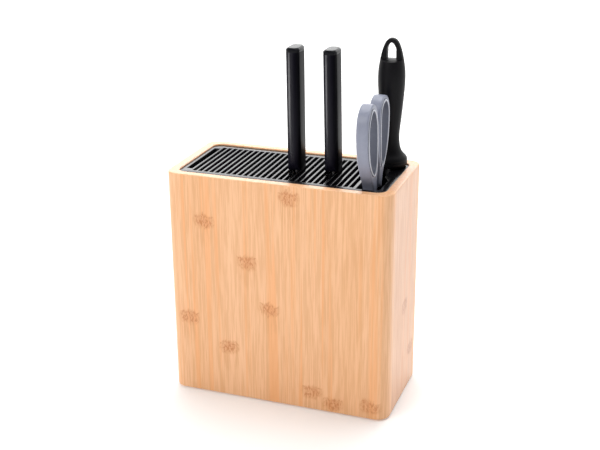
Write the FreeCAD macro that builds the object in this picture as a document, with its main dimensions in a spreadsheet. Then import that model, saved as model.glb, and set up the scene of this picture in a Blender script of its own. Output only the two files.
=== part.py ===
import FreeCAD, Part
import math
import os
import re

import Sketcher
from FreeCAD import Placement, Rotation, Vector

# Bamboo knife block with a slotted insert, two knives, scissors and a sharpening steel.
# Millimetres. The origin is on the floor under the middle of the block.
# +X is to the right along the long side, +Y is to the back, +Z is up.

os.makedirs("parts", exist_ok=True)
doc = FreeCAD.newDocument("knife_block")

# ---------------------------------------------------------------- driving dimensions
DIMENSIONS = {
    # casing
    "block_width": 220.0,
    "block_depth": 110.0,
    "block_top": 226.0,
    "foot_height": 2.0,
    "foot_radius": 8.0,
    "foot_inset": 20.0,
    "wall_thick": 9.0,
    "outer_corner": 12.0,
    "inner_corner": 8.5,
    "base_thick": 9.0,
    "rim_round": 1.2,
    # slotted insert and the rails that carry it
    "insert_gap": 0.3,
    "insert_drop": 1.2,
    "insert_height": 60.0,
    "slot_width": 3.83,
    "slot_pitch": 5.73,
    "slot_length": 75.0,
    "slot_middle": 0.5,
    "slot_first": -87.335,
    "slot_count": 28.0,
    "end_slot_width": 5.95,
    "end_slot_place": -94.125,
    "rail_height": 10.0,
    "rail_depth": 8.0,
    "rail_length": 150.0,
    "rail_middle": -15.0,
    # knives
    "grip_thick": 13.0,
    "grip_depth": 22.0,
    "grip_corner": 5.5,
    "grip_heel_round": 11.0,
    "cap_height": 4.0,
    "cap_chamfer": 1.6,
    "blade_thick": 1.6,
    "ground_thick": 0.65,
    "ground_width": 3.5,
    "tang_length": 30.0,
    "tang_depth": 12.0,
    "tang_place": 4.0,
    "chef_grip_length": 113.2,
    "utility_grip_length": 112.0,
    # scissors
    "loop_thick": 11.0,
    "ring_thick": 12.0,
    "stop_radius": 2.0,
    "stop_length": 6.0,
    "ring_wall": 1.7,
    "shear_thick": 1.8,
    "shear_gap": 0.1,
    "pivot_radius": 3.0,
    "pivot_fit": 0.05,
    "pivot_head_radius": 5.5,
    "pivot_head_thick": 1.5,
    # sharpening steel
    "rod_radius": 4.0,
    "rod_length": 190.0,
    "rod_tang": 40.0,
    "guard_radius": 16.5,
    "guard_thick": 5.0,
    "eye_web": 6.0,
}

sheet = doc.addObject("Spreadsheet::Sheet", "Dims")
for row, (alias, value) in enumerate(DIMENSIONS.items(), start=1):
    sheet.set(f"A{row}", alias)
    sheet.set(f"B{row}", str(value))
    sheet.setAlias(f"B{row}", alias)
doc.recompute()


def dim(alias):
    """The value of one cell of the sheet, read by its alias."""
    return float(getattr(sheet, alias))


# ---------------------------------------------------------------- small helpers
def bind(thing, prop, formula):
    """Bind one property to a formula whose names are aliases of the sheet."""
    thing.setExpression(prop, re.sub(r"[a-z][a-z_]+", lambda name: f"Dims.{name.group()}", formula))


def origin_plane(body, role):
    return next(f for f in body.Origin.OriginFeatures if f.Role == role)


def new_body(name):
    return doc.addObject("PartDesign::Body", name)


def new_sketch(body, name, role, offset=None):
    sketch = body.newObject("Sketcher::SketchObject", name)
    sketch.AttachmentSupport = [(origin_plane(body, role), "")]
    sketch.MapMode = "FlatFace"
    if offset is not None:
        sketch.AttachmentOffset = offset
    return sketch


def rectangle(sketch, width, height, cx=0.0, cy=0.0):
    """A rectangle whose sides are bound to two formulas, placed by its centre."""
    corners = [(-1, -1), (1, -1), (1, 1), (-1, 1)]
    points = [Vector(cx + 5 * sx, cy + 5 * sy, 0) for sx, sy in corners]
    for i in range(4):
        sketch.addGeometry(Part.LineSegment(points[i], points[(i + 1) % 4]))
    for i in range(4):
        sketch.addConstraint(Sketcher.Constraint("Coincident", i, 2, (i + 1) % 4, 1))
    sketch.addConstraint(Sketcher.Constraint("Horizontal", 0))
    sketch.addConstraint(Sketcher.Constraint("Horizontal", 2))
    sketch.addConstraint(Sketcher.Constraint("Vertical", 1))
    sketch.addConstraint(Sketcher.Constraint("Vertical", 3))
    for name, kind, edge, formula in (("Wide", "DistanceX", 0, width), ("Tall", "DistanceY", 1, height)):
        index = sketch.addConstraint(Sketcher.Constraint(kind, edge, 1, edge, 2, 10.0))
        sketch.renameConstraint(index, name)
        bind(sketch, f"Constraints.{name}", formula)
    middle = sketch.addGeometry(Part.Point(Vector(cx, cy, 0)), True)
    sketch.addConstraint(Sketcher.Constraint("Symmetric", 0, 1, 1, 2, middle, 1))
    sketch.addConstraint(Sketcher.Constraint("DistanceX", -1, 1, middle, 1, cx))
    sketch.addConstraint(Sketcher.Constraint("DistanceY", -1, 1, middle, 1, cy))


def polygon(sketch, points):
    """A closed chain of straight lines through (x, y) points."""
    vectors = [Vector(x, y, 0) for x, y in points]
    count = len(vectors)
    first = len(sketch.Geometry)
    for i in range(count):
        sketch.addGeometry(Part.LineSegment(vectors[i], vectors[(i + 1) % count]))
    for i in range(count):
        following = first + (i + 1) % count
        sketch.addConstraint(Sketcher.Constraint("Coincident", first + i, 2, following, 1))


def smooth_loop(sketch, points):
    """A closed smooth curve through (x, y) points."""
    curve = Part.BSplineCurve()
    curve.interpolate(Points=[Vector(x, y, 0) for x, y in points], PeriodicFlag=True)
    sketch.addGeometry(curve)


def pad(body, sketch, name, formula, midplane=False, reverse=False):
    feature = body.newObject("PartDesign::Pad", name)
    feature.Profile = sketch
    bind(feature, "Length", formula)
    feature.Midplane = midplane
    feature.Reversed = reverse
    doc.recompute()
    return feature


def pocket(body, sketch, name, formula=None, midplane=False, reverse=False):
    """Cut a sketch into the body; with no formula it cuts right through. The volume must drop."""
    before = body.Shape.Volume
    feature = body.newObject("PartDesign::Pocket", name)
    feature.Profile = sketch
    if formula is None:
        feature.Type = "ThroughAll"
    else:
        bind(feature, "Length", formula)
    feature.Midplane = midplane
    feature.Reversed = reverse
    doc.recompute()
    if body.Shape.Volume >= before - 0.01:
        raise RuntimeError(f"{name} cuts nothing")
    return feature


def edge_round(body, base, name, edges, radius):
    feature = body.newObject("PartDesign::Fillet", name)
    feature.Base = (base, edges)
    bind(feature, "Radius", radius)
    doc.recompute()


def edge_chamfer(body, base, name, edges, size):
    feature = body.newObject("PartDesign::Chamfer", name)
    feature.Base = (base, edges)
    bind(feature, "Size", size)
    doc.recompute()


def upright_edges(shape):
    """The names of the straight edges that run along Z."""
    names = []
    for i, edge in enumerate(shape.Edges, start=1):
        ends = [v.Point for v in edge.Vertexes]
        if len(ends) == 2 and ends[0].sub(ends[1]).cross(Vector(0, 0, 1)).Length < 1e-6:
            names.append(f"Edge{i}")
    return names


def rounded_block(name, width, depth, height, corner):
    """A block standing on its own origin, its four upright corners rounded."""
    body = new_body(name)
    sketch = new_sketch(body, f"{name}_outline", "XY_Plane")
    rectangle(sketch, width, depth)
    block = pad(body, sketch, f"{name}_pad", height)
    edge_round(body, block, f"{name}_corners", upright_edges(block.Shape), corner)
    return body


def plain_box(name, width, depth, height, corner):
    """A Part box with bound sides and its low corner at the given place."""
    box = doc.addObject("Part::Box", name)
    bind(box, "Length", width)
    bind(box, "Width", depth)
    bind(box, "Height", height)
    box.Placement = Placement(corner, Rotation())
    return box


def plain_cylinder(name, radius, height, place, turn=None):
    cylinder = doc.addObject("Part::Cylinder", name)
    bind(cylinder, "Radius", radius)
    bind(cylinder, "Height", height)
    cylinder.Placement = Placement(place, turn or Rotation())
    return cylinder


def boolean(kind, name, base, tool):
    result = doc.addObject(f"Part::{kind}", name)
    result.Base = base
    result.Tool = tool
    return result


nodes = []


def piece(thing, label):
    """Name a finished sub-part; its label is the name of its file."""
    thing.Label = label
    nodes.append(thing)
    return thing


# ---------------------------------------------------------------- bamboo casing
WIDTH = dim("block_width")
DEPTH = dim("block_depth")
TOP = dim("block_top")
FLOOR = dim("foot_height")
WALL = dim("wall_thick")
HALF_IN_X = WIDTH / 2 - WALL
HALF_IN_Y = DEPTH / 2 - WALL
# the front and back boards turn the corners, and the side boards fit between them
SEAM_Y = HALF_IN_Y - dim("inner_corner")

outside = rounded_block("outside", "block_width", "block_depth", "block_top - foot_height", "outer_corner")
outside.Placement = Placement(Vector(0, 0, FLOOR), Rotation())
inside = rounded_block(
    "inside",
    "block_width - 2 * wall_thick",
    "block_depth - 2 * wall_thick",
    "block_top",
    "inner_corner",
)
shell = boolean("Cut", "shell", outside, inside)
doc.recompute()


def rim_edges(shape):
    """The edges of the flat top face, as (number, radius, radius) for a Part fillet."""
    chosen = []
    for i, edge in enumerate(shape.Edges, start=1):
        box = edge.BoundBox
        if abs(box.ZMin - TOP) < 1e-6 and abs(box.ZMax - TOP) < 1e-6:
            chosen.append((i, dim("rim_round"), dim("rim_round")))
    return chosen


soft_shell = doc.addObject("Part::Fillet", "soft_shell")
soft_shell.Base = shell
soft_shell.Edges = rim_edges(shell.Shape)
doc.recompute()

corner_depth = "wall_thick + inner_corner"
side_depth = "block_depth - 2 * wall_thick - 2 * inner_corner"
regions = {
    "front_panel": ("block_width", corner_depth, Vector(-WIDTH / 2, -DEPTH / 2, 0)),
    "back_panel": ("block_width", corner_depth, Vector(-WIDTH / 2, SEAM_Y, 0)),
    "left_panel": ("wall_thick", side_depth, Vector(-WIDTH / 2, -SEAM_Y, 0)),
    "right_panel": ("wall_thick", side_depth, Vector(HALF_IN_X, -SEAM_Y, 0)),
}
for label, (wide, deep, corner) in regions.items():
    region = plain_box(f"{label}_region", wide, deep, "block_top", corner)
    piece(boolean("Common", f"{label}_cut", soft_shell, region), label)

base = rounded_block(
    "base",
    "block_width - 2 * wall_thick",
    "block_depth - 2 * wall_thick",
    "base_thick",
    "inner_corner",
)
base.Placement = Placement(Vector(0, 0, FLOOR), Rotation())
piece(base, "base_panel")

FOOT_X = WIDTH / 2 - dim("foot_inset")
FOOT_Y = DEPTH / 2 - dim("foot_inset")
for end, sy in (("front", -1), ("back", 1)):
    for side, sx in (("left", -1), ("right", 1)):
        label = f"{end}_{side}_foot"
        place = Vector(sx * FOOT_X, sy * FOOT_Y, 0)
        piece(plain_cylinder(f"{label}_disc", "foot_radius", "foot_height", place), label)

# ---------------------------------------------------------------- slotted insert
INSERT_TOP = TOP - dim("insert_drop")
INSERT_BOTTOM = INSERT_TOP - dim("insert_height")
# the open well at the right end, for the scissors and the steel
WELL_LEFT = 72.3
WELL_RIGHT = 88.0
WELL_BULGE = 94.0
WELL_FRONT = -39.0
WELL_BACK = 42.0

insert = rounded_block(
    "insert",
    "block_width - 2 * wall_thick - 2 * insert_gap",
    "block_depth - 2 * wall_thick - 2 * insert_gap",
    "insert_height",
    "inner_corner - insert_gap",
)

well = new_sketch(insert, "well_outline", "XY_Plane")
polygon(
    well,
    [
        (WELL_LEFT, WELL_FRONT),
        (WELL_BULGE - 4.0, WELL_FRONT),
        (WELL_BULGE, WELL_FRONT + 5.0),
        (WELL_BULGE, -9.0),
        (WELL_RIGHT, 1.7),
        (WELL_RIGHT, WELL_BACK),
        (WELL_LEFT, WELL_BACK),
    ],
)
pocket(insert, well, "well", reverse=True)

end_slot = new_sketch(insert, "end_slot_outline", "XY_Plane")
rectangle(end_slot, "end_slot_width", "slot_length - 9", dim("end_slot_place"), dim("slot_middle"))
pocket(insert, end_slot, "end_slot", reverse=True)

slot = new_sketch(insert, "slot_outline", "XY_Plane")
rectangle(slot, "slot_width", "slot_length", dim("slot_first"), dim("slot_middle"))
first_slot = pocket(insert, slot, "first_slot", reverse=True)

slots = insert.newObject("PartDesign::LinearPattern", "slots")
slots.Originals = [first_slot]
slots.Direction = (slot, ["H_Axis"])
bind(slots, "Length", "slot_pitch * (slot_count - 1)")
bind(slots, "Occurrences", "slot_count")
insert.Tip = slots
doc.recompute()
insert.Placement = Placement(Vector(0, 0, INSERT_BOTTOM), Rotation())
piece(insert, "slotted_insert")

RAIL_Z = INSERT_BOTTOM - dim("rail_height")
RAIL_X = dim("rail_middle") - dim("rail_length") / 2
rail_places = {
    "front_support_rail": Vector(RAIL_X, -HALF_IN_Y, RAIL_Z),
    "back_support_rail": Vector(RAIL_X, HALF_IN_Y - dim("rail_depth"), RAIL_Z),
}
for label, corner in rail_places.items():
    piece(plain_box(f"{label}_bar", "rail_length", "rail_depth", "rail_height", corner), label)

# ---------------------------------------------------------------- knives
# Each knife is drawn about its own origin, where the handle meets the insert.
# The spine faces the front and the cutting edge faces the back.
KNIVES = {
    "chef_knife": {
        "x": 4.345,
        "y": -5.0,
        "lean": 0.5,
        "length": 185.0,
        "heel": 27.0,
        "grip": "chef_grip_length",
    },
    "utility_knife": {
        "x": 38.6,
        "y": 1.0,
        "lean": 1.0,
        "length": 150.0,
        "heel": 16.0,
        "grip": "utility_grip_length",
    },
}
GRIP_DEPTH = dim("grip_depth")
SPINE_Y = -GRIP_DEPTH / 2 + 4.0
TANG_FRONT = dim("tang_place") - dim("tang_depth") / 2
TANG_BACK = dim("tang_place") + dim("tang_depth") / 2


def belly_edges(shape, heel):
    """The names of the long curved edges of the cutting side, one on each face of the plate."""
    names = []
    for i, edge in enumerate(shape.Edges, start=1):
        box = edge.BoundBox
        if box.XLength < 0.01 and box.YMax > heel - 0.5 and box.ZLength > 100:
            names.append(f"Edge{i}")
    return names


def knife_blade(name, length, heel):
    """Blade and tang in one plate, in the YZ plane, with a ground cutting edge."""
    body = new_body(name)
    sketch = new_sketch(body, f"{name}_profile", "YZ_Plane")
    tang = dim("tang_length")
    # straight stretches: spine, sloping shoulder and tang, then down to the heel
    spine_end = (SPINE_Y, -length * 0.66)
    heel_point = (heel, -9.0)
    straight = [spine_end, (SPINE_Y, -24.0), (TANG_FRONT, -4.0), (TANG_FRONT, tang)]
    straight += [(TANG_BACK, tang), (TANG_BACK, -2.0), heel_point]
    for start, end in zip(straight, straight[1:]):
        sketch.addGeometry(Part.LineSegment(Vector(*start, 0), Vector(*end, 0)))
    # one smooth curve from the heel round the belly to the tip, and one up the spine's drop
    tip = (SPINE_Y + (heel - SPINE_Y) * 0.42, -length)
    belly = [
        heel_point,
        (heel, -length * 0.32),
        (heel * 0.93, -length * 0.62),
        (heel * 0.66, -length * 0.85),
        tip,
    ]
    drop = [tip, (SPINE_Y + (tip[0] - SPINE_Y) * 0.40, -length * 0.86), spine_end]
    for points in (belly, drop):
        curve = Part.BSplineCurve()
        curve.interpolate(Points=[Vector(*p, 0) for p in points])
        sketch.addGeometry(curve)
    plate = pad(body, sketch, f"{name}_plate", "blade_thick", midplane=True)
    # the two long curves along the belly are ground down to a thin edge
    grind = body.newObject("PartDesign::Chamfer", f"{name}_grind")
    grind.Base = (plate, belly_edges(plate.Shape, heel))
    grind.ChamferType = "Two distances"
    bind(grind, "Size", "ground_thick")
    bind(grind, "Size2", "ground_width")
    doc.recompute()
    return body


def heel_corner(sketch, front, radius):
    """The corner that is taken off the lower front end of a handle to round it."""
    centre = Vector(front + radius, radius, 0)
    outer = Vector(front - 1.0, -1.0, 0)
    on_front = Vector(front, radius, 0)
    on_bottom = Vector(front + radius, 0, 0)
    bow = Part.Circle(centre, Vector(0, 0, 1), radius)
    sketch.addGeometry(Part.ArcOfCircle(bow, math.pi, 1.5 * math.pi))
    sketch.addGeometry(Part.LineSegment(on_bottom, Vector(on_bottom.x, outer.y, 0)))
    sketch.addGeometry(Part.LineSegment(Vector(on_bottom.x, outer.y, 0), outer))
    sketch.addGeometry(Part.LineSegment(outer, Vector(outer.x, on_front.y, 0)))
    sketch.addGeometry(Part.LineSegment(Vector(outer.x, on_front.y, 0), on_front))


for knife, sizes in KNIVES.items():
    home = Placement(
        Vector(sizes["x"], sizes["y"], INSERT_TOP + 0.2),
        Rotation(Vector(0, 1, 0), -sizes["lean"]),
    )
    blade = knife_blade(f"{knife}_steel", sizes["length"], sizes["heel"])

    grip = rounded_block(f"{knife}_grip", "grip_thick", "grip_depth", sizes["grip"], "grip_corner")
    heel = new_sketch(grip, f"{knife}_heel_outline", "YZ_Plane")
    heel_corner(heel, -GRIP_DEPTH / 2, dim("grip_heel_round"))
    pocket(grip, heel, f"{knife}_heel_cut", "2 * grip_thick", midplane=True)
    tang_hole = new_sketch(grip, f"{knife}_tang_hole", "XY_Plane")
    rectangle(tang_hole, "blade_thick", "tang_depth", 0.0, dim("tang_place"))
    pocket(grip, tang_hole, f"{knife}_tang_pocket", "tang_length", reverse=True)

    cap = rounded_block(f"{knife}_cap", "grip_thick", "grip_depth", "cap_height", "grip_corner")
    top_face = max(range(len(cap.Shape.Faces)), key=lambda i: cap.Shape.Faces[i].CenterOfMass.z)
    edge_chamfer(cap, cap.Tip, f"{knife}_cap_edge", [f"Face{top_face + 1}"], "cap_chamfer")

    blade.Placement = home
    grip.Placement = home
    cap.Placement = home.multiply(Placement(Vector(0, 0, dim(sizes["grip"])), Rotation()))
    piece(blade, f"{knife}_blade")
    piece(grip, f"{knife}_handle")
    piece(cap, f"{knife}_end_cap")

# ---------------------------------------------------------------- scissors
# The scissors stand in the YZ plane. The rear half is fixed, and the front half turns on it.
SHEAR_X = 81.5
PIVOT_Y = -15.0
PIVOT_Z = 205.0
ALONG_X = Rotation(Vector(0, 1, 0), 90)

FRONT_LOOP = [
    (-28.5, 216.0),
    (-33.0, 227.5),
    (-37.6, 234.0),
    (-43.2, 244.0),
    (-48.2, 255.5),
    (-51.3, 265.5),
    (-52.7, 275.5),
    (-52.2, 286.0),
    (-48.6, 295.0),
    (-41.5, 300.5),
    (-34.0, 302.4),
    (-26.3, 298.5),
    (-20.2, 289.0),
    (-17.4, 277.0),
    (-16.6, 262.0),
    (-16.9, 248.0),
    (-18.3, 236.0),
    (-20.0, 226.0),
    (-21.0, 216.0),
]
FRONT_HOLE = [
    (-30.5, 234.5),
    (-38.0, 240.5),
    (-43.5, 248.0),
    (-47.2, 257.0),
    (-49.0, 266.0),
    (-49.3, 276.0),
    (-48.0, 286.0),
    (-44.0, 293.5),
    (-36.0, 298.3),
    (-28.5, 294.0),
    (-23.6, 286.0),
    (-20.9, 276.0),
    (-20.0, 264.0),
    (-20.2, 251.0),
    (-21.6, 242.0),
    (-24.7, 236.5),
]
REAR_LOOP = [
    (-2.5, 218.0),
    (-0.6, 229.0),
    (6.0, 238.5),
    (12.0, 247.5),
    (16.0, 256.5),
    (18.2, 266.0),
    (19.2, 276.0),
    (18.4, 286.5),
    (14.0, 295.8),
    (5.0, 301.3),
    (-3.5, 300.8),
    (-10.5, 296.0),
    (-14.2, 287.0),
    (-15.2, 275.0),
    (-15.0, 262.0),
    (-13.6, 248.0),
    (-11.0, 234.0),
    (-8.5, 218.0),
]
REAR_HOLE = [
    (-2.5, 236.0),
    (3.0, 239.6),
    (8.5, 247.0),
    (12.2, 256.0),
    (14.6, 265.5),
    (15.5, 276.0),
    (14.6, 286.0),
    (10.4, 293.8),
    (4.0, 297.7),
    (-3.5, 297.0),
    (-8.8, 292.3),
    (-11.3, 284.0),
    (-11.9, 274.0),
    (-11.6, 262.0),
    (-10.1, 250.0),
    (-7.2, 240.5),
]


def shrink(points, amount):
    """Move each point towards the middle of its outline by the given amount."""
    mid_y = sum(p[0] for p in points) / len(points)
    mid_z = sum(p[1] for p in points) / len(points)
    moved = []
    for y, z in points:
        away = math.hypot(y - mid_y, z - mid_z)
        scale = 1 - amount / away
        moved.append((mid_y + (y - mid_y) * scale, mid_z + (z - mid_z) * scale))
    return moved


def shear_half(name, outline, hole, blade_points, blade_x, stop=None):
    """One half of the scissors: blade, grip and the soft ring inside its loop.

    A stop, if its (y, z) is given, is a small bump on the grip that the other grip closes on.
    """
    middle = Placement(Vector(0, 0, blade_x), Rotation())

    def blade_body(suffix, with_hole):
        body = new_body(f"{name}_{suffix}")
        sketch = new_sketch(body, f"{name}_{suffix}_profile", "YZ_Plane", middle)
        polygon(sketch, blade_points)
        pad(body, sketch, f"{name}_{suffix}_plate", "shear_thick", midplane=True)
        if with_hole:
            circle = new_sketch(body, f"{name}_{suffix}_hole", "YZ_Plane", middle)
            place = Vector(PIVOT_Y, PIVOT_Z, 0)
            circle.addGeometry(Part.Circle(place, Vector(0, 0, 1), dim("pivot_radius")))
            circle.addConstraint(Sketcher.Constraint("DistanceX", -1, 1, 0, 3, PIVOT_Y))
            circle.addConstraint(Sketcher.Constraint("DistanceY", -1, 1, 0, 3, PIVOT_Z))
            index = circle.addConstraint(Sketcher.Constraint("Radius", 0, dim("pivot_radius")))
            circle.renameConstraint(index, "Bore")
            bind(circle, "Constraints.Bore", "pivot_radius + pivot_fit")
            pocket(body, circle, f"{name}_{suffix}_bore", "4 * shear_thick", midplane=True)
        return body

    blade = blade_body("plate", True)

    loop_middle = Placement(Vector(0, 0, SHEAR_X), Rotation())
    loop = new_body(f"{name}_loop")
    outer = new_sketch(loop, f"{name}_loop_outline", "YZ_Plane", loop_middle)
    smooth_loop(outer, outline)
    pad(loop, outer, f"{name}_loop_pad", "loop_thick", midplane=True)
    inner = new_sketch(loop, f"{name}_loop_hole", "YZ_Plane", loop_middle)
    smooth_loop(inner, hole)
    pocket(loop, inner, f"{name}_loop_cut", "4 * loop_thick", midplane=True)
    tang = blade_body("tang", False)
    grip = boolean("Cut", f"{name}_grip_cut", loop, tang)
    if stop is not None:
        place = Vector(SHEAR_X - dim("stop_length") / 2, *stop)
        bump = plain_cylinder(f"{name}_stop", "stop_radius", "stop_length", place, ALONG_X)
        grip = boolean("Fuse", f"{name}_grip_with_stop", grip, bump)

    ring = new_body(f"{name}_ring")
    ring_out = new_sketch(ring, f"{name}_ring_outline", "YZ_Plane", loop_middle)
    smooth_loop(ring_out, hole)
    pad(ring, ring_out, f"{name}_ring_pad", "ring_thick", midplane=True)
    ring_in = new_sketch(ring, f"{name}_ring_hole", "YZ_Plane", loop_middle)
    smooth_loop(ring_in, shrink(hole, dim("ring_wall")))
    pocket(ring, ring_in, f"{name}_ring_cut", "4 * ring_thick", midplane=True)

    piece(blade, f"{name}_blade")
    piece(grip, f"{name}_grip")
    piece(ring, f"{name}_soft_ring")


SHEAR_STEP = (dim("shear_thick") + dim("shear_gap")) / 2
FRONT_BLADE = [
    (-28.5, 228.5),
    (-23.0, 228.5),
    (-6.0, 208.0),
    (-5.0, 196.0),
    (-10.5, 112.0),
    (-14.5, 102.0),
    (-17.0, 108.0),
    (-23.0, 196.0),
    (-24.0, 208.0),
]
REAR_BLADE = [
    (-6.0, 232.0),
    (-2.5, 232.0),
    (-6.0, 208.0),
    (-7.0, 196.0),
    (-13.0, 108.0),
    (-15.5, 102.0),
    (-19.5, 112.0),
    (-25.0, 196.0),
    (-24.0, 208.0),
]
shear_half("front_shear", FRONT_LOOP, FRONT_HOLE, FRONT_BLADE, SHEAR_X - SHEAR_STEP)
shear_half("rear_shear", REAR_LOOP, REAR_HOLE, REAR_BLADE, SHEAR_X + SHEAR_STEP, stop=(-14.25, 262.0))

HEAD = dim("pivot_head_thick")
STACK = SHEAR_STEP + dim("shear_thick") / 2
pin_place = Vector(SHEAR_X - STACK, PIVOT_Y, PIVOT_Z)
head_place = Vector(SHEAR_X - STACK - HEAD, PIVOT_Y, PIVOT_Z)
pin = plain_cylinder("pivot_pin", "pivot_radius", "2 * shear_thick + shear_gap", pin_place, ALONG_X)
head = plain_cylinder("pivot_head", "pivot_head_radius", "pivot_head_thick", head_place, ALONG_X)
piece(boolean("Fuse", "pivot_screw_solid", pin, head), "pivot_screw")
nut_place = Vector(SHEAR_X + STACK, PIVOT_Y, PIVOT_Z)
piece(
    plain_cylinder("pivot_nut_disc", "pivot_head_radius", "pivot_head_thick", nut_place, ALONG_X),
    "pivot_nut",
)

# ---------------------------------------------------------------- sharpening steel
STEEL_X = 82.9
STEEL_Y = 36.5
STEEL_PLACE = Placement(Vector(STEEL_X, STEEL_Y, TOP), Rotation())
GUARD_TOP = dim("guard_thick")
# (radius, height above the rim) up the side of the handle
HANDLE_SIDE = [
    (16.4, GUARD_TOP),
    (15.9, 7.6),
    (12.4, 11.6),
    (9.6, 17.5),
    (8.5, 28.0),
    (9.6, 42.0),
    (11.3, 60.0),
    (12.6, 78.0),
    (12.5, 90.0),
    (10.6, 103.0),
    (7.6, 113.8),
    (3.9, 119.6),
    (0.0, 120.9),
]
EYE_BOTTOM = 101.5
EYE_HALF = 4.6
EYE_TOP = 116.8


handle = new_body("steel_handle_body")
side = new_sketch(handle, "handle_side", "XZ_Plane")
curve = Part.BSplineCurve()
curve.interpolate(Points=[Vector(r, z, 0) for r, z in HANDLE_SIDE])
side.addGeometry(curve)
side.addGeometry(Part.LineSegment(Vector(0, HANDLE_SIDE[-1][1], 0), Vector(0, GUARD_TOP, 0)))
side.addGeometry(Part.LineSegment(Vector(0, GUARD_TOP, 0), Vector(HANDLE_SIDE[0][0], GUARD_TOP, 0)))
revolved = handle.newObject("PartDesign::Revolution", "handle_turned")
revolved.Profile = side
revolved.ReferenceAxis = (side, ["V_Axis"])
revolved.Angle = 360
doc.recompute()

for name, turned in (("front_scoop", False), ("back_scoop", True)):
    scoop = new_sketch(handle, f"{name}_outline", "YZ_Plane")
    sign = 1 if turned else -1
    web = sign * dim("eye_web") / 2
    far = sign * 30.0
    polygon(scoop, [(web, EYE_BOTTOM), (far, EYE_BOTTOM - 5), (far, 130.0), (web, 130.0)])
    pocket(handle, scoop, name, "4 * guard_radius", midplane=True)

eye = new_sketch(handle, "eye_outline", "XZ_Plane")
left_foot = Vector(-EYE_HALF, EYE_BOTTOM, 0)
right_foot = Vector(EYE_HALF, EYE_BOTTOM, 0)
left_side = Vector(-EYE_HALF + 0.2, EYE_BOTTOM + 8.0, 0)
right_side = Vector(EYE_HALF - 0.2, EYE_BOTTOM + 8.0, 0)
eye.addGeometry(Part.LineSegment(left_foot, right_foot))
eye.addGeometry(Part.LineSegment(right_foot, right_side))
eye_arch = Part.BSplineCurve()
eye_arch.interpolate(
    Points=[
        right_side,
        Vector(EYE_HALF - 1.6, EYE_TOP - 2.4, 0),
        Vector(0, EYE_TOP, 0),
        Vector(-EYE_HALF + 1.6, EYE_TOP - 2.4, 0),
        left_side,
    ]
)
eye.addGeometry(eye_arch)
eye.addGeometry(Part.LineSegment(left_side, left_foot))
pocket(handle, eye, "eye", "4 * guard_radius", midplane=True)

bore = new_sketch(handle, "handle_bore_outline", "XY_Plane")
bore.addGeometry(Part.Circle(Vector(0, 0, 0), Vector(0, 0, 1), dim("rod_radius")))
bore.addConstraint(Sketcher.Constraint("Coincident", 0, 3, -1, 1))
bore_size = bore.addConstraint(Sketcher.Constraint("Radius", 0, dim("rod_radius")))
bore.renameConstraint(bore_size, "Bore")
bind(bore, "Constraints.Bore", "rod_radius")
pocket(handle, bore, "handle_bore", "rod_tang", reverse=True)
handle.Placement = STEEL_PLACE
piece(handle, "steel_handle")

guard_disc = plain_cylinder("guard_disc", "guard_radius", "guard_thick", STEEL_PLACE.Base)
guard_hole = plain_cylinder("guard_hole", "rod_radius", "guard_thick", STEEL_PLACE.Base)
piece(boolean("Cut", "guard_ring", guard_disc, guard_hole), "steel_guard")

rod_place = Vector(STEEL_X, STEEL_Y, TOP - dim("rod_length"))
rod = plain_cylinder("rod_bar", "rod_radius", "rod_length + rod_tang", rod_place)
piece(rod, "steel_rod")

# ---------------------------------------------------------------- check and write
doc.recompute()
for thing in doc.Objects:
    if "Invalid" in thing.State or "Error" in thing.State:
        raise RuntimeError(f"{thing.Name} failed: {thing.State}")
for thing in nodes:
    shape = thing.Shape
    if shape.isNull() or not shape.isValid():
        raise RuntimeError(f"{thing.Label} has no valid shape")
    shape.exportStep(f"parts/{thing.Label}.step")
    box = shape.BoundBox
    print(
        f"{thing.Label:24s} solids {len(shape.Solids)} volume {shape.Volume:10.1f} "
        f"z {box.ZMin:7.2f}..{box.ZMax:7.2f}"
    )
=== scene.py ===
# %% [markdown]
# # A bamboo knife block, and what stands in it
# The block is a hollow bamboo casing with a black slotted insert in its mouth. Two knives, a pair of
# scissors and a sharpening steel stand in it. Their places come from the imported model, which is loaded
# first and never moved. This lesson gives each piece its finish, and its softened edges.

# %% Load the frame
import math

import bpy
from mathutils import Matrix, Vector


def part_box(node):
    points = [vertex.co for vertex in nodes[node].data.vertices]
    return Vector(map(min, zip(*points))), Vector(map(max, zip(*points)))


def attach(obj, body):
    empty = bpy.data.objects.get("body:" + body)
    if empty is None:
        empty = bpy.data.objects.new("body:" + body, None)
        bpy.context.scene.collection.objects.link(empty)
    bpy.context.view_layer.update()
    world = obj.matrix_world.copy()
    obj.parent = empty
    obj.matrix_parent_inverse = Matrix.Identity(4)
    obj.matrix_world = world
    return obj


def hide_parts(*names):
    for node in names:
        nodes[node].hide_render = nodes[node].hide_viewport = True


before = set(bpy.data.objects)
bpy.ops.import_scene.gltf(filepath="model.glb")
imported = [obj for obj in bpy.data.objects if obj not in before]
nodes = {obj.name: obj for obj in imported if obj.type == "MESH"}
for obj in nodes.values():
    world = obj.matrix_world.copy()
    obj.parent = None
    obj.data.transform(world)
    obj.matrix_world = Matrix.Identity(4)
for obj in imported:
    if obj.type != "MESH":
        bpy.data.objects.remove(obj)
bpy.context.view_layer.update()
MM = 0.001

# %% [markdown]
# ## The camera
# A long lens a metre away keeps the block's sides nearly parallel. A short lens close by would show as
# much, but it would spread the block towards its top. The camera is a matrix: a place, a turn that
# points it at the middle of the block, and a slight roll about the line of sight.

# %% Camera
LOOK_AT = Vector((0.0050, 0.0, 0.1674))
CAMERA_AT = Vector((0.3490, -0.9429, 0.5530))
CAMERA_ROLL = math.radians(-0.414)

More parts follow.
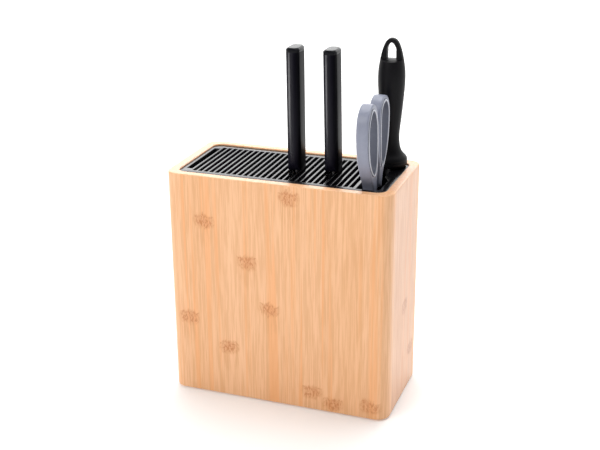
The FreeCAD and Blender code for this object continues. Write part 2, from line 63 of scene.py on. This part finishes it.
camera_data = bpy.data.cameras.new("camera")
camera_data.lens = 67.0
camera_data.sensor_width = 36.0
camera = bpy.data.objects.new("camera", camera_data)
bpy.context.scene.collection.objects.link(camera)
aim = (LOOK_AT - CAMERA_AT).to_track_quat("-Z", "Y").to_matrix().to_4x4()
camera.matrix_world = Matrix.Translation(CAMERA_AT) @ aim @ Matrix.Rotation(CAMERA_ROLL, 4, "Z")
bpy.context.scene.camera = camera
print("camera", round((CAMERA_AT - LOOK_AT).length, 3), "m away")

# %% [markdown]
# ## Starting a material
# A material here is a small graph of nodes that ends in the Principled shader. The first helper makes
# the shader, the second gives an input either a fixed value or the output of another node, and the
# third puts the finished material on a piece.

# %% Helpers: a material, its inputs, its piece
def new_material(name, colour, roughness, metallic=0.0):
    """A material with a Principled shader, and the parts needed to add to it."""
    material = bpy.data.materials.new(name)
    material.use_nodes = True
    tree = material.node_tree
    shader = tree.nodes["Principled BSDF"]
    shader.inputs["Base Color"].default_value = (*colour, 1)
    shader.inputs["Roughness"].default_value = roughness
    shader.inputs["Metallic"].default_value = metallic
    return material, tree, shader


def feed(tree, socket, value):
    """Give an input either a fixed value or another node's output."""
    if isinstance(value, bpy.types.NodeSocket):
        tree.links.new(value, socket)
    elif isinstance(value, tuple) and len(value) == 3 and socket.type == "RGBA":
        socket.default_value = (*value, 1)
    else:
        socket.default_value = value


def paint(piece, material):
    """Give a piece one material in all of its slots."""
    piece.data.materials.clear()
    piece.data.materials.append(material)


print("material helpers ready")

# %% [markdown]
# ## Arithmetic in a material
# A Math node does one sum. A Map Range node in smooth step mode turns a value into a soft mask, and a
# Mix node uses such a mask to go from one colour to another. Wrapped as functions, they let the
# recipes below read as lists of steps.

# %% Helpers: sums, masks and mixes
def maths(tree, operation, first, second=0.0, third=0.0):
    node = tree.nodes.new("ShaderNodeMath")
    node.operation = operation
    for socket, value in zip(node.inputs, (first, second, third)):
        feed(tree, socket, value)
    return node.outputs[0]


def ramp(tree, value, low, high, to_low=0.0, to_high=1.0):
    """A smooth step from one value to another, clamped at both ends."""
    node = tree.nodes.new("ShaderNodeMapRange")
    node.interpolation_type = "SMOOTHSTEP"
    for name, number in (
        ("Value", value),
        ("From Min", low),
        ("From Max", high),
        ("To Min", to_low),
        ("To Max", to_high),
    ):
        feed(tree, node.inputs[name], number)
    return node.outputs[0]


def blend_colour(tree, amount, first, second):
    node = tree.nodes.new("ShaderNodeMix")
    node.data_type = "RGBA"
    feed(tree, node.inputs["Factor"], amount)
    feed(tree, node.inputs[6], first)
    feed(tree, node.inputs[7], second)
    return node.outputs[2]


def scaled(colour, factors):
    """A colour with each channel multiplied, and none above one."""
    return tuple(min(channel * factor, 1.0) for channel, factor in zip(colour, factors))


print("arithmetic helpers ready")

# %% [markdown]
# ## Patterns
# All patterns read Object coordinates, which are metres in the model's own frame, so they have their
# real size and stay put when a piece moves. A Mapping node squeezes or draws out a pattern. Noise makes
# the pattern, and Bump turns it into relief too small to model.

# %% Helpers: places, noise and bump
def object_point(tree):
    return tree.nodes.new("ShaderNodeTexCoord").outputs["Object"]


def split_point(tree, point):
    """The X, Y and Z of a point, by name."""
    node = tree.nodes.new("ShaderNodeSeparateXYZ")
    feed(tree, node.inputs[0], point)
    return node.outputs


def stretched(tree, point, scale):
    node = tree.nodes.new("ShaderNodeMapping")
    node.inputs["Scale"].default_value = scale
    feed(tree, node.inputs["Vector"], point)
    return node.outputs[0]


def noise(tree, point, scale, detail=3.0, roughness=0.55):
    node = tree.nodes.new("ShaderNodeTexNoise")
    feed(tree, node.inputs["Vector"], point)
    node.inputs["Scale"].default_value = scale
    node.inputs["Detail"].default_value = detail
    node.inputs["Roughness"].default_value = roughness
    return node.outputs["Fac"]


def bump(tree, shader, height, strength, distance):
    node = tree.nodes.new("ShaderNodeBump")
    node.inputs["Strength"].default_value = strength
    node.inputs["Distance"].default_value = distance
    feed(tree, node.inputs["Height"], height)
    tree.links.new(node.outputs[0], shader.inputs["Normal"])


print("pattern helpers ready")

# %% [markdown]
# ## The floor
# The floor is a wide white plane. It gives off a little light of its own, so that it stays white round
# the block and the block's shadow stays soft. Far from the block that glow grows until the floor is as
# white as the sky, which hides the line where the two meet. A curved backdrop would do that too, but
# only from one side.

# %% Floor
FLOOR_GLOW_NEAR, FLOOR_GLOW_FAR = 0.13, 1.0
GLOW_STARTS, GLOW_ENDS = 2.0, 4.0


def clear_selection():
    """Leave edit mode if need be, and select nothing."""
    if bpy.context.mode != "OBJECT":
        bpy.ops.object.mode_set(mode="OBJECT")
    bpy.ops.object.select_all(action="DESELECT")


clear_selection()
bpy.ops.mesh.primitive_plane_add(size=12.0, location=(0, 0, 0))
floor = bpy.context.active_object
floor.name = "floor"
floor_paint, floor_tree, floor_shader = new_material("white_floor", (0.95, 0.95, 0.95), 0.9)
floor_shader.inputs["Specular IOR Level"].default_value = 0.1
floor_shader.inputs["Emission Color"].default_value = (1.0, 1.0, 1.0, 1)
from_middle = floor_tree.nodes.new("ShaderNodeVectorMath")
from_middle.operation = "LENGTH"
feed(floor_tree, from_middle.inputs[0], object_point(floor_tree))
glow = ramp(
    floor_tree, from_middle.outputs["Value"], GLOW_STARTS, GLOW_ENDS, FLOOR_GLOW_NEAR, FLOOR_GLOW_FAR
)
feed(floor_tree, floor_shader.inputs["Emission Strength"], glow)
paint(floor, floor_paint)
print("floor", tuple(floor.dimensions))

# %% [markdown]
# ## The sky
# The sky lights the block from behind more than from in front, as a studio does, for black plastic only
# looks black if there is little in front for it to mirror. The sky is a graph too: it reads the
# direction of each ray, and a ramp on Y goes from dark to bright. Where the sky itself is seen, and not
# its light on a piece, it is white on all sides.

# %% Sky
SKY_IN_FRONT, SKY_BEHIND = 0.24, 1.06

bpy.context.scene.view_settings.view_transform = "Standard"
bpy.context.scene.view_settings.look = "None"

world = bpy.data.worlds.new("studio")
world.use_nodes = True
sky = world.node_tree
direction = split_point(sky, sky.nodes.new("ShaderNodeTexCoord").outputs["Generated"])
behind = ramp(sky, direction["Y"], -0.30, 0.35, SKY_IN_FRONT, SKY_BEHIND)
seen_directly = sky.nodes.new("ShaderNodeLightPath").outputs["Is Camera Ray"]
strength = maths(sky, "MAXIMUM", behind, maths(sky, "MULTIPLY", seen_directly, SKY_BEHIND))
sky.links.new(strength, sky.nodes["Background"].inputs["Strength"])
sky.nodes["Background"].inputs["Color"].default_value = (1.0, 1.0, 1.0, 1)
bpy.context.scene.world = world
print("sky strength runs from", SKY_IN_FRONT, "in front to", SKY_BEHIND, "behind")

# %% [markdown]
# ## Lights
# One large soft light in front models the bamboo. A panel stands at the front left, close to the
# floor, and draws the grey band down each black handle. It is linked to the handles alone, so that it
# leaves the bamboo as it is. A card stands behind, out of view. The black insert lies flat, so at a low
# angle it mirrors that card, and its ribs turn light grey. The overhead light keeps the floor white.

# %% Lights
def soft_light(name, place, aim_at, size, power, tint=(1.0, 1.0, 1.0)):
    """A rectangular area light at a place, turned towards a point, and not seen itself."""
    data = bpy.data.lights.new(name, "AREA")
    data.shape = "RECTANGLE"
    data.size, data.size_y = size
    data.energy = power
    data.color = tint
    lamp = bpy.data.objects.new(name, data)
    bpy.context.scene.collection.objects.link(lamp)
    turn = (Vector(aim_at) - Vector(place)).to_track_quat("-Z", "Y").to_matrix().to_4x4()
    lamp.matrix_world = Matrix.Translation(Vector(place)) @ turn
    lamp.visible_camera = False
    print(name, power, "W")
    return lamp


soft_light("front_softbox", (-0.9, -1.6, 1.5), (0, 0, 0.15), (1.4, 1.4), 26.0, (1.0, 0.985, 0.97))
panel = soft_light("left_panel_light", (-0.56, -0.56, 0.16), (0.02, 0, 0.28), (0.42, 0.60), 34.0)
handles_lit = bpy.data.collections.new("lit_by_the_panel")
panel.light_linking.receiver_collection = handles_lit
soft_light("back_card", (-0.55, 2.2, 1.15), (0, 0, 0.22), (3.0, 1.1), 24.0)
soft_light("overhead", (0.0, 0.55, 1.8), (0, 0.25, 0.0), (1.2, 1.2), 17.0)

# %% [markdown]
# ## Bamboo: where the cane's nodes lie
# A bamboo board is glued up from strips about 20 mm wide, all with their fibres upright. Where the cane had
# a joint, the strip has a node mark. Scattered at random the marks would fall on edges and on each other, so
# they are listed, as places across and up the board in millimetres.

# %% Strips and node places
STRIP = 19.5 * MM
HALF_WIDTH = 110.0 * MM
KNOT_FRONT = [
    (-71.0, 182.0),
    (-28.4, 145.0),
    (-6.1, 100.0),
    (-90.0, 80.0),
    (-48.8, 54.0),
    (14.0, 214.0),
    (35.8, 20.0),
    (57.0, 10.0),
    (94.0, 14.0),
]
KNOT_BACK = [(-84.0, 60.0), (-45.0, 150.0), (-6.0, 196.0), (33.0, 92.0), (72.0, 30.0), (91.0, 170.0)]
KNOT_SIDE = [(28.0, 40.0), (2.0, 96.0)]
print("node marks:", len(KNOT_FRONT), "in front,", len(KNOT_BACK), "behind,", len(KNOT_SIDE), "at each side")

# %% [markdown]
# ## Bamboo: one node mark
# A node mark is a ragged band across the strip, a thin dark ring above its middle, and a fan of darker
# streaks under it. The mark is used many times, so it is a node group: built once, and placed by two
# numbers. Each part of it is an ellipse or a line whose edge a smooth step softens.

# %% Helper: the node mark
MARK_HALF_WIDTH = 12.0 * MM
MARK_HALF_HEIGHT = 8.5 * MM
RAGGED_REACH = 11 * MM
STREAK_DROP, STREAK_HALF_HEIGHT = 11 * MM, 17 * MM
RING_RISE = 4.5 * MM


def squared_part(tree, distance, half_size):
    """How far out a point is, as a share of half the size, squared."""
    return maths(tree, "POWER", maths(tree, "DIVIDE", distance, half_size), 2.0)


def knot_group():
    """A node group that marks one node of the cane, with soft edges, and the streaks under it."""
    group = bpy.data.node_groups.new("cane_node_mark", "ShaderNodeTree")
    for name in ("Across", "Up", "Ragged", "Knot Across", "Knot Up"):
        group.interface.new_socket(name, in_out="INPUT", socket_type="NodeSocketFloat")
    for name in ("Band", "Streak", "Ring"):
        group.interface.new_socket(name, in_out="OUTPUT", socket_type="NodeSocketFloat")
    inside = group.nodes.new("NodeGroupInput").outputs
    out = group.nodes.new("NodeGroupOutput").inputs

    sideways = maths(group, "SUBTRACT", inside["Across"], inside["Knot Across"])
    uneven = maths(group, "MULTIPLY", maths(group, "SUBTRACT", inside["Ragged"], 0.5), RAGGED_REACH)
    height = maths(group, "ADD", maths(group, "SUBTRACT", inside["Up"], inside["Knot Up"]), uneven)
    far_across = squared_part(group, sideways, MARK_HALF_WIDTH)
    far_up = squared_part(group, height, MARK_HALF_HEIGHT)
    band = ramp(group, maths(group, "ADD", far_across, far_up), 0.15, 1.15, 1.0, 0.0)

    within = ramp(group, far_across, 0.45, 0.85, 1.0, 0.0)
    from_ring = maths(group, "ABSOLUTE", maths(group, "SUBTRACT", height, RING_RISE))
    ring_line = ramp(group, from_ring, 0.3 * MM, 1.3 * MM, 0.8, 0.0)
    ring = maths(group, "MULTIPLY", ring_line, within)

    far_under = squared_part(group, maths(group, "ADD", height, STREAK_DROP), STREAK_HALF_HEIGHT)
    spread = maths(group, "ADD", far_under, far_across)
    group.links.new(maths(group, "MAXIMUM", band, ring), out["Band"])
    group.links.new(ring, out["Ring"])
    group.links.new(ramp(group, spread, 0.1, 1.1, 1.0, 0.0), out["Streak"])
    return group


cane_node = knot_group()
print("node mark made of", len(cane_node.nodes), "nodes")

# %% [markdown]
# ## Bamboo: strips and fibres
# Each strip has its own tone, from a White Noise node that is given the strip's number. The tone also
# shifts the strip's pattern along, so that no two strips match. The fibres are noise squeezed across
# the board and drawn out along it, in three sizes, and a paler or more orange streak runs here and
# there. A wood picture wrapped round the board would be quicker, but it blurs up close.

# %% Helpers: strips and grain
def strips_across(tree, across):
    """The distance across the board, counted in strips."""
    return maths(tree, "DIVIDE", maths(tree, "ADD", across, HALF_WIDTH), STRIP)


def strip_tone(tree, across, seed):
    """A value from 0 to 1, the same all over one strip."""
    node = tree.nodes.new("ShaderNodeTexWhiteNoise")
    node.noise_dimensions = "1D"
    number = maths(tree, "FLOOR", strips_across(tree, across))
    feed(tree, node.inputs["W"], maths(tree, "ADD", number, seed))
    return node.outputs["Value"]


def grain_point(tree, parts, across, depth_axis, tone):
    """A point for the grain's noise, shifted along by the tone of its strip."""
    node = tree.nodes.new("ShaderNodeCombineXYZ")
    feed(tree, node.inputs["X"], across)
    feed(tree, node.inputs["Y"], parts[depth_axis])
    feed(tree, node.inputs["Z"], maths(tree, "ADD", parts["Z"], maths(tree, "MULTIPLY", tone, 3.0)))
    return node.outputs[0]


def grain_colour(tree, along, fibre, tone, light, dark):
    """The board's colour without its node marks."""
    vein = noise(tree, stretched(tree, along, (1.0, 1.0, 0.040)), 330.0, 3.0, 0.6)
    cloud = noise(tree, stretched(tree, along, (1.0, 1.0, 0.25)), 26.0, 2.0, 0.5)
    long_streak = noise(tree, stretched(tree, along, (1.0, 1.0, 0.02)), 120.0, 2.0, 0.6)
    warm = scaled(light, (0.93, 0.86, 0.74))
    pale = scaled(light, (1.03, 1.07, 1.12))
    orange = scaled(light, (1.0, 0.76, 0.50))

    mix = maths(tree, "ADD", maths(tree, "MULTIPLY", fibre, 0.6), maths(tree, "MULTIPLY", vein, 0.4))
    streaks = ramp(tree, mix, 0.43, 0.57)
    colour = blend_colour(tree, maths(tree, "MULTIPLY", streaks, 0.68), light, dark)
    colour = blend_colour(tree, 0.30, colour, blend_colour(tree, tone, warm, pale))
    colour = blend_colour(tree, ramp(tree, cloud, 0.45, 0.75, 0.0, 0.22), colour, dark)
    return blend_colour(tree, ramp(tree, long_streak, 0.52, 0.68, 0.0, 0.55), colour, orange)


print("strips are", round(STRIP / MM, 1), "mm wide")

# %% [markdown]
# ## Bamboo: marks and glue lines
# All node marks of a board are joined by taking the highest value at each point. Inside a band, a finer
# noise breaks the brown up into crumbs, as the cut ends of the fibres do. The glue line between two
# strips is faint: a little darkening where the distance to the nearest strip edge is small.

# %% Helpers: marks and glue lines
def cane_marks(tree, knots, across, up, along):
    """The band, the streaks and the ring of all the node marks on a board."""
    ragged = noise(tree, stretched(tree, along, (1.0, 1.0, 0.5)), 210.0, 2.0, 0.6)
    found = {"Band": 0.0, "Streak": 0.0, "Ring": 0.0}
    for knot_across, knot_up in knots:
        mark = tree.nodes.new("ShaderNodeGroup")
        mark.node_tree = cane_node
        for name, value in (("Across", across), ("Up", up), ("Ragged", ragged)):
            feed(tree, mark.inputs[name], value)
        mark.inputs["Knot Across"].default_value = knot_across * MM
        mark.inputs["Knot Up"].default_value = knot_up * MM
        for name in found:
            found[name] = maths(tree, "MAXIMUM", found[name], mark.outputs[name])
    return found


def add_marks(tree, colour, marks, along, fibre, dark):
    """Brown the board where its node marks are."""
    node_brown = scaled(dark, (0.84, 0.62, 0.40))
    crumb_noise = noise(tree, stretched(tree, along, (1.0, 1.0, 0.42)), 620.0, 3.0, 0.6)
    crumbs = ramp(tree, crumb_noise, 0.47, 0.58)
    stripes = ramp(tree, fibre, 0.42, 0.58)
    under = maths(tree, "MULTIPLY", marks["Streak"], maths(tree, "MULTIPLY", stripes, 0.42))
    broken = maths(tree, "ADD", maths(tree, "MULTIPLY", crumbs, 0.62), 0.28)
    colour = blend_colour(tree, under, colour, dark)
    colour = blend_colour(tree, maths(tree, "MULTIPLY", marks["Band"], broken), colour, node_brown)
    return blend_colour(tree, maths(tree, "MULTIPLY", marks["Ring"], 0.30), colour, node_brown)


def add_glue_lines(tree, colour, across, dark):
    """Darken the board a little where two strips meet."""
    place = maths(tree, "FRACT", strips_across(tree, across))
    near = maths(tree, "MINIMUM", place, maths(tree, "SUBTRACT", 1.0, place))
    return blend_colour(tree, ramp(tree, near, 0.004, 0.02, 0.14, 0.0), colour, dark)


print("marks and glue lines ready")

# %% [markdown]
# ## Bamboo: the whole recipe
# The recipe puts the steps together: grain, node marks, glue lines, and then the surface. The fibres
# also move the roughness and raise a slight bump, so that the gloss breaks up along them. A thin coat
# on top stands for the oil or lacquer on the real board.

# %% Bamboo recipe
BAMBOO_LIGHT, BAMBOO_DARK = (0.87, 0.50, 0.265), (0.66, 0.305, 0.115)


def bamboo(name, across_axis, knots, seed, light=BAMBOO_LIGHT, dark=BAMBOO_DARK):
    """Upright-grain bamboo, its strips counted along X or Y."""
    material, tree, shader = new_material(name, light, 0.42)
    parts = split_point(tree, object_point(tree))
    across = parts[across_axis]
    tone = strip_tone(tree, across, seed)
    along = grain_point(tree, parts, across, "Y" if across_axis == "X" else "X", tone)
    fibre = noise(tree, stretched(tree, along, (1.0, 1.0, 0.026)), 950.0, 3.0, 0.65)

    colour = grain_colour(tree, along, fibre, tone, light, dark)
    marks = cane_marks(tree, knots, across, parts["Z"], along)
    colour = add_marks(tree, colour, marks, along, fibre, dark)
    colour = add_glue_lines(tree, colour, across, dark)
    feed(tree, shader.inputs["Base Color"], colour)
    feed(tree, shader.inputs["Roughness"], ramp(tree, fibre, 0.35, 0.65, 0.36, 0.50))
    bump(tree, shader, fibre, 0.12, 0.25 * MM)
    shader.inputs["Coat Weight"].default_value = 0.35
    shader.inputs["Coat Roughness"].default_value = 0.28
    print(name, "made of", len(tree.nodes), "nodes")
    return material


# %% [markdown]
# ## The casing
# The four walls keep their shape from the model, so each only gets its bamboo. The front and the back count
# their strips across X, and the sides across Y. The number after the node marks is a seed: it picks other
# strip tones for each board. The rails inside are darker bamboo.

# %% Dress the casing
# The side boards are the same bamboo as the front, but their tones are paler and pinker. This is a painted
# sheen: the colour the side faces take on when light falls on them at a low angle.
SIDE_TONES_WITH_PAINTED_SHEEN = ((0.82, 0.485, 0.30), (0.62, 0.30, 0.15))
RAIL_TONES = ((0.72, 0.42, 0.2), (0.5, 0.25, 0.1))

paint(nodes["front_panel"], bamboo("bamboo_front", "X", KNOT_FRONT, 3.0))
paint(nodes["back_panel"], bamboo("bamboo_back", "X", KNOT_BACK, 41.0))
paint(nodes["left_panel"], bamboo("bamboo_left", "Y", KNOT_SIDE, 17.0, *SIDE_TONES_WITH_PAINTED_SHEEN))
paint(nodes["right_panel"], bamboo("bamboo_right", "Y", KNOT_SIDE, 29.0, *SIDE_TONES_WITH_PAINTED_SHEEN))
paint(nodes["base_panel"], bamboo("bamboo_base", "X", [], 57.0))
rail_bamboo = bamboo("bamboo_rail", "Y", [], 71.0, *RAIL_TONES)
for rail in ("front_support_rail", "back_support_rail"):
    paint(nodes[rail], rail_bamboo)
print("casing dressed")

# %% [markdown]
# ## Plastic and rubber
# Moulded plastic is never one even gloss: it has a fine grain and faint smears. One recipe makes them
# all, with a noise that moves the roughness and another that raises a tiny bump. What is the same all
# over a piece, such as the coat, is set on the shader itself.

# %% Plastic recipe and finishes
def moulded(name, colour, roughness, grain=0.08, coat=0.0, spread=0.08, specular=0.5, mottle=1.25):
    """Moulded plastic or rubber with a fine grain and uneven gloss."""
    material, tree, shader = new_material(name, colour, roughness)
    point = object_point(tree)
    smear = noise(tree, point, 34.0, 3.0)
    gloss = ramp(tree, smear, 0.3, 0.7, roughness - spread, roughness + spread)
    feed(tree, shader.inputs["Roughness"], gloss)
    dust = ramp(tree, noise(tree, point, 260.0, 2.0), 0.45, 0.75)
    lifted = scaled(colour, (mottle, mottle, mottle))
    feed(tree, shader.inputs["Base Color"], blend_colour(tree, dust, colour, lifted))
    bump(tree, shader, noise(tree, point, 2600.0, 2.0), grain, 0.05 * MM)
    shader.inputs["Coat Weight"].default_value = coat
    shader.inputs["Coat Roughness"].default_value = 0.12
    shader.inputs["Specular IOR Level"].default_value = specular
    print(name, "roughness", roughness)
    return material


insert_plastic = moulded("insert_plastic", (0.003, 0.003, 0.004), 0.24, 0.05, 0.05, 0.05, 0.22)
foot_rubber = moulded("foot_rubber", (0.02, 0.02, 0.02), 0.7, 0.2)
handle_plastic = moulded("handle_plastic", (0.0018, 0.0016, 0.0030), 0.30, 0.05, 0.0, 0.02, 0.06)
cap_plastic = moulded("cap_plastic", (0.003, 0.003, 0.005), 0.28, 0.04, 0.0, 0.03, 0.12)
shear_plastic = moulded("shear_plastic", (0.245, 0.262, 0.335), 0.36, 0.05, 0.0, 0.03, 0.45, 1.05)
ring_rubber = moulded("ring_rubber", (0.125, 0.136, 0.175), 0.42, 0.06, 0.0, 0.04, 0.3, 1.08)
steel_grip_plastic = moulded("steel_grip_plastic", (0.0028, 0.0026, 0.0038), 0.45, 0.14, 0.0, 0.05, 0.14)

# %% [markdown]
# ## Steel
# Ground steel has long fine scratches. They are noise drawn out along one axis, and they move the
# roughness, the colour and the bump together. The blades and the sharpening steel's rod are scratched
# along their length. The scissors' pivot is polished, so its noise is drawn out along no axis.

# %% Steel recipe and finishes
ALONG_THE_BLADE = (0.05, 1.0, 0.05)
ALONG_THE_ROD = (1.0, 1.0, 0.02)
NO_DIRECTION = (1.0, 1.0, 1.0)


def ground_steel(name, colour, roughness, stretch, scale=900.0):
    """Steel with fine scratches along the axis that the stretch makes long."""
    material, tree, shader = new_material(name, colour, roughness, 1.0)
    scratch = noise(tree, stretched(tree, object_point(tree), stretch), scale, 4.0, 0.65)
    gloss = ramp(tree, scratch, 0.3, 0.7, roughness - 0.08, roughness + 0.12)
    feed(tree, shader.inputs["Roughness"], gloss)
    dull = scaled(colour, (0.8, 0.8, 0.8))
    worn = blend_colour(tree, ramp(tree, scratch, 0.35, 0.75), colour, dull)
    feed(tree, shader.inputs["Base Color"], worn)
    bump(tree, shader, scratch, 0.08, 0.05 * MM)
    print(name, "roughness", roughness)
    return material


blade_steel = ground_steel("blade_steel", (0.62, 0.62, 0.64), 0.26, ALONG_THE_BLADE)
shear_steel = ground_steel("shear_steel", (0.60, 0.60, 0.62), 0.30, ALONG_THE_BLADE)
pivot_metal = ground_steel("pivot_metal", (0.70, 0.70, 0.71), 0.16, NO_DIRECTION, 500.0)
rod_metal = ground_steel("rod_metal", (0.55, 0.55, 0.57), 0.34, ALONG_THE_ROD, 1400.0)

# %% [markdown]
# ## The rings' pale edges
# The soft lining of each finger loop is dark. Its edge, where it folds over the grip, is painted pale: a
# painted highlight that stands for the light catching the lip of the hole. It could be a second material on
# a few faces, but a ramp on the distance from the middle plane of the scissors gives the painted highlight a
# soft change.

# %% Painted highlight on the rings' edges
RING_EDGE_HIGHLIGHT_COLOUR = (0.52, 0.54, 0.60)


def paint_edge_highlight(material, middle, start, end, highlight_colour):
    """Paint a highlight by blending a material's colour to another one away from a plane across X."""
    tree = material.node_tree
    shader = tree.nodes["Principled BSDF"]
    old = shader.inputs["Base Color"].links[0].from_socket
    sideways = split_point(tree, object_point(tree))["X"]
    away = maths(tree, "ABSOLUTE", maths(tree, "SUBTRACT", sideways, middle))
    blended = blend_colour(tree, ramp(tree, away, start, end), old, highlight_colour)
    feed(tree, shader.inputs["Base Color"], blended)


ring_low, ring_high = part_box("front_shear_soft_ring")
shear_middle = (ring_low[0] + ring_high[0]) / 2
half_ring = (ring_high[0] - ring_low[0]) / 2
# Painted highlight: the outer part of each ring's thickness, from 0.9 to 0.3 mm in from its edge, blends to
# the pale colour.
paint_edge_highlight(ring_rubber, shear_middle, half_ring - 0.9 * MM, half_ring - 0.3 * MM, RING_EDGE_HIGHLIGHT_COLOUR)
print("rings are", round(2 * half_ring / MM, 1), "mm thick")

# %% [markdown]
# ## Copies of the CAD nodes
# A CAD mesh is loose triangles, and it is never changed itself. Its copy is merged at its doubled
# points, and its triangles are joined up into flat faces. The finished copy then rides on the same body
# and stands for the CAD node.

# %% Helpers: copy a node, and hand the copy over
def merged_copy(node):
    """A copy of a CAD node whose loose triangles are joined up into larger faces."""
    clear_selection()
    piece = bpy.data.objects.new(f"{node}_soft", nodes[node].data.copy())
    bpy.context.scene.collection.objects.link(piece)
    piece.select_set(True)
    bpy.context.view_layer.objects.active = piece
    if piece.data.has_custom_normals:
        bpy.ops.mesh.customdata_custom_splitnormals_clear()
    bpy.ops.object.mode_set(mode="EDIT")
    bpy.ops.mesh.select_all(action="SELECT")
    bpy.ops.mesh.remove_doubles(threshold=0.01 * MM)
    flat, any_shape = math.radians(1), math.radians(180)
    bpy.ops.mesh.tris_convert_to_quads(face_threshold=flat, shape_threshold=any_shape)
    bpy.ops.object.mode_set(mode="OBJECT")
    return piece


def hand_over(piece, node, material, body):
    """Dress a finished piece, let it ride on its body, and let it stand for the CAD node."""
    paint(piece, material)
    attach(piece, body)
    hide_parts(node)
    print(piece.name, len(piece.data.polygons), "faces")


# %% [markdown]
# ## Two ways to soften a copy
# Machined and moulded pieces have small rounded edges that catch the light. Most get a Bevel modifier
# that only works on sharp edges. The scissors' grips are thick soft mouldings with no flat left at all:
# they are remeshed into small even faces, and a Smooth modifier then melts their edges together.

# %% Helpers: bevelled and flowing edges
BEVEL_OVER = math.radians(32.0)
SMOOTH_UNDER = math.radians(38)


def softened(node, radius, material, body, segments=3):
    """A copy of a CAD node with its sharp edges rounded off."""
    piece = merged_copy(node)
    bevel = piece.modifiers.new("edge", "BEVEL")
    bevel.width = radius
    bevel.segments = segments
    bevel.limit_method = "ANGLE"
    bevel.angle_limit = BEVEL_OVER
    bpy.ops.object.modifier_apply(modifier="edge")
    bpy.ops.object.shade_smooth_by_angle(angle=SMOOTH_UNDER)
    hand_over(piece, node, material, body)
    return piece


def moulded_round(node, grain, passes, material, body):
    """A copy of a CAD node with all its edges flowing, as on a thick soft moulding."""
    piece = merged_copy(node)
    remesh = piece.modifiers.new("even", "REMESH")
    remesh.mode = "VOXEL"
    remesh.voxel_size = grain
    bpy.ops.object.modifier_apply(modifier="even")
    flow = piece.modifiers.new("flow", "SMOOTH")
    flow.factor = 0.5
    flow.iterations = passes
    bpy.ops.object.modifier_apply(modifier="flow")
    bpy.ops.object.shade_smooth()
    hand_over(piece, node, material, body)
    return piece


print("bevels over", round(math.degrees(BEVEL_OVER)), "degrees")

# %% [markdown]
# ## The insert and the feet
# The insert is one moulding with a row of narrow slots. A bevel of a third of a millimetre rounds each
# rib, and that thin line of light is what makes the ribs readable. The feet are soft rubber discs.

# %% Insert and feet
softened("slotted_insert", 0.35 * MM, insert_plastic, "insert", 2)
for foot in ("front_left_foot", "front_right_foot", "back_left_foot", "back_right_foot"):
    softened(foot, 0.5 * MM, foot_rubber, "block", 2)

# %% [markdown]
# ## The knives
# Both knives have the same three pieces: a plain black handle, a flat cap on its end, and the
# blade. Each handle also joins the collection that the panel light is linked to. The blades are hidden
# while the knives stand in the block, and show when they are drawn.

# %% Knives
for knife in ("chef_knife", "utility_knife"):
    grip = softened(f"{knife}_handle", 0.6 * MM, handle_plastic, knife, 2)
    softened(f"{knife}_end_cap", 0.35 * MM, cap_plastic, knife, 2)
    handles_lit.objects.link(grip)
    softened(f"{knife}_blade", 0.12 * MM, blade_steel, knife, 2)

# %% [markdown]
# ## The scissors
# Each half is a steel blade, a hard grey grip and a soft ring inside the finger loop. The halves ride
# on different bodies, so that they can open. The screw and its nut stay with the rear half.

# %% Scissors
GRIP_GRAIN = 0.5 * MM
GRIP_PASSES = 45

for half in ("front", "rear"):
    body = f"scissors_{half}_half"
    moulded_round(f"{half}_shear_grip", GRIP_GRAIN, GRIP_PASSES, shear_plastic, body)
    softened(f"{half}_shear_soft_ring", 0.5 * MM, ring_rubber, body, 3)
    softened(f"{half}_shear_blade", 0.2 * MM, shear_steel, body, 2)
softened("pivot_screw", 0.4 * MM, pivot_metal, "scissors_rear_half", 2)
softened("pivot_nut", 0.4 * MM, pivot_metal, "scissors_rear_half", 2)

# %% [markdown]
# ## The sharpening steel
# The handle and its round guard are the same satin black plastic, with generous edges. The rod is a
# plain round bar with nothing to soften along it, so it keeps the model's shape and only gets its finish.

# %% Sharpening steel
softened("steel_handle", 1.2 * MM, steel_grip_plastic, "sharpening_steel", 3)
softened("steel_guard", 1.2 * MM, steel_grip_plastic, "sharpening_steel", 3)
paint(nodes["steel_rod"], rod_metal)
print("rod painted")
